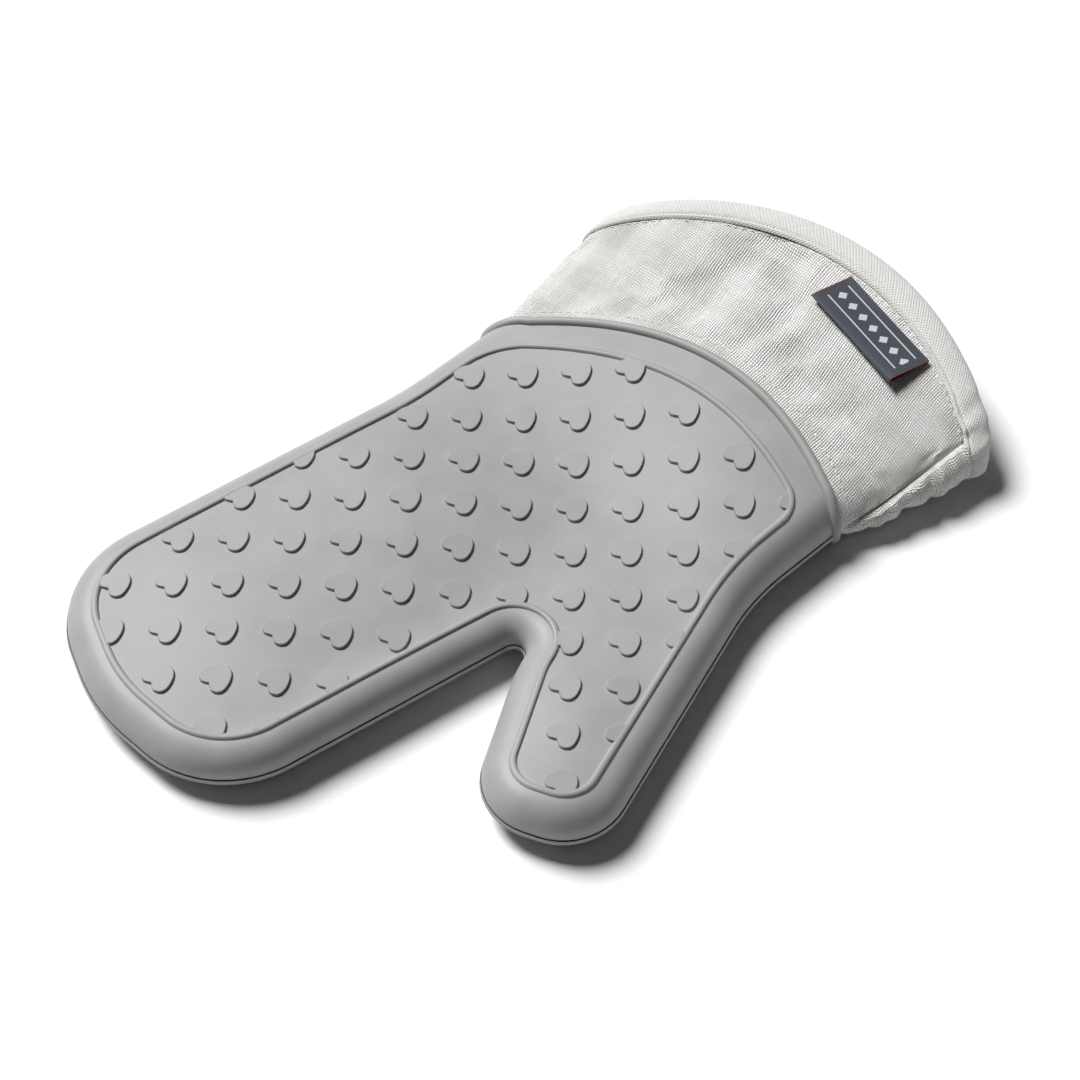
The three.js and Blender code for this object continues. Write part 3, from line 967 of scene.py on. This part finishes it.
def seamRelief(side, turn, along):
    # A crease at the thumb-side seam, with the back's cloth rolled out below it in small puckers.
    away = turn - seamTurn(along)
    fade = smooth(along / 0.12)
    crease = -cuff["crease"] * math.exp(-((away / 0.02) ** 2)) * fade
    if side == "palm" or away > 0.75:
        return crease if abs(away) < 0.2 else 0
    pucker = 1 + 0.28 * math.sin(along * 29 + 1.4 * math.sin(along * 12)) + 0.12 * math.sin(along * 61)
    return crease + cuff["roll"] * math.sin(math.pi * math.sqrt(max(0, away) / 0.75)) * pucker * fade


def clothPanel(side, inset, columns, rows, end, folds=1):
    bm = bmesh.new()
    bmesh.ops.create_grid(bm, x_segments=columns, y_segments=rows, size=1)
    flat = {v: (v.co.x, (v.co.y + 1) / 2 * end) for v in bm.verts}
    lines = {}
    for vert, (x, along) in flat.items():
        share, seam = (x + 1) / 2, seamTurn(along)
        turn = share * seam if side == "palm" else 2 * math.pi - share * (2 * math.pi - seam)
        vert.co = aroundCuff(turn, along, inset)
        vert.co.z += (1 if side == "palm" else -0.3) * folds * clothFold(side, -math.cos(turn), along)
        if abs(turn - math.pi) < 1 and abs(turn - math.pi) > 1e-6:
            vert.co += outwardFrom(turn, along) * folds * seamRelief(side, turn, along)
        lines.setdefault(round(along, 4), []).append(vert)
    uv = bm.loops.layers.uv.new("cloth")
    across = {}
    for row in lines.values():
        row.sort(key=lambda v: flat[v][0])
        run = [0]
        for a, b in zip(row, row[1:]):
            run.append(run[-1] + (b.co - a.co).length)
        across.update({v: r - run[len(run) // 2] for v, r in zip(row, run)})
    for face in bm.faces:
        for loop in face.loops:
            loop[uv].uv = (across[loop.vert], loop.vert.co.y)
    return bm, flat


def relax(bm, held):
    # Cloth simulation: a little larger than its space and held at its seams, the panel finds its own folds.
    start = [v.co.copy() for v in bm.verts]
    mesh = bpy.data.meshes.new("relaxing")
    bmesh.ops.transform(bm, matrix=toFrame, verts=bm.verts)
    bm.to_mesh(mesh)
    piece = bpy.data.objects.new("relaxing", mesh)
    scene.collection.objects.link(piece)
    piece.vertex_groups.new(name="held").add(held, 1, "REPLACE")
    modifier = piece.modifiers.new("cloth", "CLOTH")
    settings = modifier.settings
    settings.quality = 6
    settings.mass = 0.25
    settings.tension_stiffness = settings.compression_stiffness = 15
    settings.shear_stiffness = 8
    settings.bending_stiffness = 0.35
    settings.vertex_group_mass = "held"
    settings.shrink_min = -cuff["slack"]
    settings.effector_weights.gravity = 0
    modifier.point_cache.frame_start, modifier.point_cache.frame_end = 1, cuff["frames"]
    for step in range(1, cuff["frames"] + 1):
        scene.frame_set(step)
    done = piece.evaluated_get(bpy.context.evaluated_depsgraph_get())
    back = toFrame.inverted()
    ends = [back @ v.co for v in done.data.vertices]
    scene.frame_set(1)
    bpy.data.objects.remove(piece)
    bpy.data.meshes.remove(mesh)
    for vert, a, b in zip(bm.verts, start, ends):
        move = b - a
        vert.co = a + move.normalized() * cuff["cap"] * math.tanh(move.length / cuff["cap"])


labelJoint = next(j for j in frame["joints"] if j["name"] == "label_lift")
labelRoot = toFrame.inverted() @ Vector(labelJoint["pos_m"])
clothSurfaces = []
for side in ("palm", "back"):
    bm, flat = clothPanel(side, 0, cuff["columns"], cuff["rows"], bindingStart)
    bm.verts.index_update()
    held = [
        v.index for v, (x, along) in flat.items()
        if abs(x) > 0.96 or along * cuff["length"] < 6 or along > bindingStart - 0.02
        or (v.co - labelRoot).length < 30
    ]
    relax(bm, held)
    for vert in bm.verts:
        vert.co.z = max(vert.co.z, 0.4)
    clothSurfaces.append(bm.copy())
    thicken(bm, cuff["wall"])
    cloth = finishPiece(bm, f"{side}CuffCanvas", canvasFinish, [f"{side}_cuff_canvas"])
    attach(cloth, "glove")
    print(cloth.name, len(cloth.data.polygons), "faces")
    lining, flat = clothPanel(side, 3.0, 40, 12, bindingStart + 0.04, 0.2)
    thicken(lining, 0.8)
    inner = finishPiece(lining, f"{side}CuffLining", liningFinish, [f"{side}_cuff_lining"])
    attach(inner, "glove")
print("cuff panels ready")


def bandProfile():
    # Millimetres back from the hem, and inwards from the canvas's face.
    puff = binding["puff"]
    return [
        (-11.2, -0.4), (-10.9, -1.0), (-10.3, -puff * 0.95), (-9.7, -puff * 0.9), (-9.2, -puff * 0.62),
        (-8.7, -puff * 0.9), (-7.5, -puff * 1.08), (-5.5, -puff * 1.12), (-3, -puff),
        (-1.2, -puff * 0.7), (0.1, -0.1), (0.7, 1.2), (0.3, 2.6), (-0.9, 3.7),
        (-3, 4.3), (-6, 4.6), (-9, 4.6), (-12, 4.5),
    ]


def makeBinding():
    # A bias strip folded round the hem, full and rounded, puckered where it turns under at the thumb side.
    bm = bmesh.new()
    count = binding["around"]
    profile = bandProfile()
    rings = []
    for back, inset in profile:
        ring = []
        for k in range(count):
            turn = 2 * math.pi * k / count
            spread = -math.cos(turn)
            pull = binding["cornerPull"] * smooth((abs(spread) - 0.96) / 0.04) ** 2 * (back + 11) / 11
            underside = smooth((math.sin(turn) * -1 + 0.3) / 0.6)
            crimp = max(smooth((spread - 0.62) / 0.35), 0.4 * underside)
            ripple = math.sin(turn * 24 + 1.5 * math.sin(turn * 7)) + 0.35 * math.sin(turn * 51 + back * 0.4)
            outward = inset - binding["pucker"] * crimp * ripple * (1 if inset < 2 else 0)
            sway = 0.35 * crimp * math.sin(turn * 19)
            spot = aroundCuff(turn, 1 + (back - pull + sway) / cuff["length"], outward)
            spot.z = max(spot.z, 0.3)
            ring.append(spot)
        rings.append(ring)
    loft(bm, rings, closed=True)
    uv = bm.loops.layers.uv.new("cloth")
    tag = bm.verts.layers.int["spot"]
    runs, drops = [0], [0]
    for a, b in zip(rings[4], rings[4][1:] + rings[4][:1]):
        runs.append(runs[-1] + (b - a).length)
    for a, b in zip(profile, profile[1:]):
        drops.append(drops[-1] + math.dist(a, b))
    for face in bm.faces:
        spots = [loop.vert[tag] for loop in face.loops]
        wraps = max(spots) - min(spots) > count / 2
        for loop, spot in zip(face.loops, spots):
            u = runs[count if wraps and spot == 0 else spot]
            local = loop.vert.co
            near = min(range(len(profile)), key=lambda k: (rings[k][spot] - local).length_squared)
            loop[uv].uv = Matrix.Rotation(math.pi / 4, 2) @ Vector((u, drops[near]))  # cut on the bias
    thicken(bm, 0.9)
    piece = finishPiece(bm, "hemBinding", bindingFinish, ["hem_binding"])
    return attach(piece, "glove")


hemBinding = makeBinding()

stitching = {"pitch": 3.0, "length": 2.1, "radius": 0.27}


def stitchRow(name, stands, along):
    # Stitches laid on the cloth of each panel, one pitch apart, right round the tube.
    panels = [BVHTree.FromBMesh(surface) for surface in clothSurfaces]
    bm = bmesh.new()
    fine = [(t, aroundCuff(t, along, 0)) for t in (2 * math.pi * k / 1500 for k in range(1501))]
    travelled = 0
    for (_, a), (t, b) in zip(fine, fine[1:]):
        travelled += (b - a).length
        if travelled < stitching["pitch"]:
            continue
        travelled = 0
        place, normal, _, away = panels[0 if t <= seamTurn(along) else 1].find_nearest(b)
        if place is None or away > 5:
            continue
        if normal.z * (1 if t <= math.pi else -1) < 0:
            normal = -normal
        way = (b - a).normalized()
        way = (way - normal * way.dot(normal)).normalized()
        basis = Matrix((way, normal.cross(way), normal)).transposed().to_4x4()
        size = Matrix.Diagonal((stitching["length"] / 2, stitching["radius"], stitching["radius"] * 0.9, 1))
        place = place + normal * (stitching["radius"] * 0.35)
        bmesh.ops.create_uvsphere(
            bm, u_segments=6, v_segments=4, radius=1,
            matrix=Matrix.Translation(place) @ basis @ size @ Matrix.Rotation(math.pi / 2, 4, "Y"),
        )
    piece = finishPiece(bm, name, threadFinish, [stands], 80)
    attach(piece, "glove")
    print(name, len(piece.data.polygons), "faces")


stitchRow("collarStitching", "collar_stitching", 4.4 / cuff["length"])
stitchRow("hemStitching", "hem_stitching", bindingStart - 1.1 / cuff["length"])

# Label: a woven ribbon folded in two, its raw edges sewn in under the binding.

label = {
    "width": 46,
    "drop": 17,
    "wall": 0.45,
    "open": 1.3,
    "ground": "#39434d",
    "groundDark": "#2c343d",
    "mark": "#c9cdd0",
    "selvage": "#5a262b",
}


def makeLabelFinish():
    # Woven polyester ribbon: a fine satin twill, with a row of small pale diamonds between two lines.
    material, tree, shader = newMaterial("wovenRibbon", 1.5, 0.62, 0.3)
    uv = addNode(tree, "ShaderNodeUVMap", out="UV", uv_map="cloth")
    u, v = addNode(tree, "ShaderNodeSeparateXYZ", {0: uv}).node.outputs[:2]
    weave = {"Vector": uv, "Scale": 0.75, "Distortion": 0.4, "Detail": 2}
    twill = addNode(tree, "ShaderNodeTexWave", weave, "Fac", bands_direction="DIAGONAL")
    ground = ramp(tree, twill, [(0.2, label["groundDark"]), (0.8, label["ground"])])
    cell = addNode(tree, "ShaderNodeMath", {0: u, 1: 3.0}, operation="PINGPONG")
    lower = addNode(tree, "ShaderNodeMath", {0: v, 1: 8.2}, operation="SUBTRACT")
    fromMiddle = addNode(tree, "ShaderNodeMath", {0: lower}, operation="ABSOLUTE")
    slant = addNode(tree, "ShaderNodeMath", {0: cell, 1: 1.12, 2: fromMiddle}, operation="MULTIPLY_ADD")
    diamond = addNode(tree, "ShaderNodeMath", {0: slant, 1: 2.1}, operation="LESS_THAN")
    line = addNode(tree, "ShaderNodeMath", {0: fromMiddle, 1: 4.6, 2: 0.3}, operation="COMPARE")
    drawn = addNode(tree, "ShaderNodeMath", {0: diamond, 1: line}, operation="MAXIMUM")
    inField = addNode(tree, "ShaderNodeMath", {0: u, 1: 23.0, 2: 19.8}, operation="COMPARE")
    mark = addNode(tree, "ShaderNodeMath", {0: drawn, 1: inField}, operation="MULTIPLY")
    mixed = {"Factor": mark, "A": ground, "B": linear(label["mark"])}
    marked = addNode(tree, "ShaderNodeMix", mixed, "Result", data_type="RGBA")
    within = addNode(tree, "ShaderNodeMath", {0: u, 1: 23.0, 2: 22.3}, operation="COMPARE")
    edged = {"Factor": within, "A": linear(label["selvage"]), "B": marked}
    toned = addNode(tree, "ShaderNodeMix", edged, "Result", data_type="RGBA")
    tree.links.new(toned, shader.inputs["Base Color"])
    raised = addNode(tree, "ShaderNodeMath", {0: mark, 1: 1.5, 2: twill}, operation="MULTIPLY_ADD")
    addBump(tree, shader, raised, 0.5, 0.00015)
    return material


def makeLabel():
    root, across = labelRoot, -Vector(labelJoint["axis"]).normalized()
    low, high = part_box("label")
    towards = toFrame.inverted() @ ((low + high) / 2) - root
    drop = (towards - across * towards.dot(across)).normalized()
    up = across.cross(-drop).normalized()
    if up.z < 0:
        up = -up
    drop = (drop - up * drop.dot(up)).normalized()
    section = [  # millimetres from the sewn edge, and up: over the top leaf, round the fold and back
        (-1.0, 0.3), (1.5, 0.45), (5, 0.7), (9, 1.0), (13, 1.35), (15.6, 1.45), (16.7, 1.1),
        (16.9, 0.6), (16.3, 0.12), (13, 0), (9, -0.05), (4, -0.1), (-1.0, -0.15),
    ]
    bm = bmesh.new()
    columns = 40
    rings = []
    for away, height in section:
        ring = []
        for k in range(columns + 1):
            share = k / columns
            opening = 0.55 + 0.75 * share**2
            curl = 0.5 * (math.sin(share * math.pi * 1.3 + 0.4) + (1 - share) ** 3) * away / label["drop"]
            lift = height * opening * label["open"] - 0.55 + curl
            ring.append(root + across * (share - 0.5) * label["width"] + drop * away + up * lift)
        rings.append(ring)
    loft(bm, rings)
    uv = bm.loops.layers.uv.new("cloth")
    tag = bm.verts.layers.int["spot"]
    order = {v: k // (columns + 1) for k, v in enumerate(bm.verts)}
    runs = [0]
    for a, b in zip(section, section[1:]):
        runs.append(runs[-1] + math.dist(a, b))
    for face in bm.faces:
        for loop in face.loops:
            loop[uv].uv = (loop.vert[tag] / columns * label["width"], runs[order[loop.vert]])
    bmesh.ops.recalc_face_normals(bm, faces=bm.faces[:])
    bmesh.ops.solidify(bm, geom=bm.faces[:], thickness=label["wall"])
    bmesh.ops.recalc_face_normals(bm, faces=bm.faces[:])
    piece = finishPiece(bm, "foldedLabel", makeLabelFinish(), ["label"], 60)
    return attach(piece, "label")


makeLabel()
print("label ready")

# Floor, light and finish.

studio = {
    "key": 4.4,  # a wide, far softbox, from the little-finger side
    "keyFrom": (-1.0, -0.05, 1.27),
    "keySpread": 26,  # degrees
    "top": 0.7,  # watts
    "room": 0.018,
    "backdrop": 0.95,
}


def makeStudio():
    scene.view_settings.view_transform = "Standard"
    bm = bmesh.new()
    bmesh.ops.create_grid(bm, x_segments=1, y_segments=1, size=8)
    mesh = bpy.data.meshes.new("floor")
    bm.to_mesh(mesh)
    bm.free()
    floor = bpy.data.objects.new("floor", mesh)
    scene.collection.objects.link(floor)
    material, tree, shader = newMaterial("whitePaper", 1.5, 0.9)
    shader.inputs["Base Color"].default_value = (0.93, 0.93, 0.93, 1)
    shader.inputs["Specular IOR Level"].default_value = 0.1
    mesh.materials.append(material)
    key = bpy.data.lights.new("key", "SUN")
    key.energy, key.angle = studio["key"], math.radians(studio["keySpread"])
    top = bpy.data.lights.new("top", "AREA")
    top.energy, top.size = studio["top"], 1.6
    for data, place in ((key, Vector(studio["keyFrom"])), (top, Vector((0.1, 0.2, 1.5)))):
        light = bpy.data.objects.new(data.name, data)
        light.location = place
        light.rotation_euler = (-place).to_track_quat("-Z", "Y").to_euler()
        scene.collection.objects.link(light)
    world = bpy.data.worlds.new("studio")
    world.use_nodes = True
    tree = world.node_tree
    background = tree.nodes["Background"]
    background.inputs["Color"].default_value = (1, 1, 1, 1)
    seen = addNode(tree, "ShaderNodeLightPath", out="Is Camera Ray")
    glow = {"Value": seen, "To Min": studio["room"], "To Max": studio["backdrop"]}
    tree.links.new(addNode(tree, "ShaderNodeMapRange", glow), background.inputs["Strength"])
    scene.world = world


makeStudio()
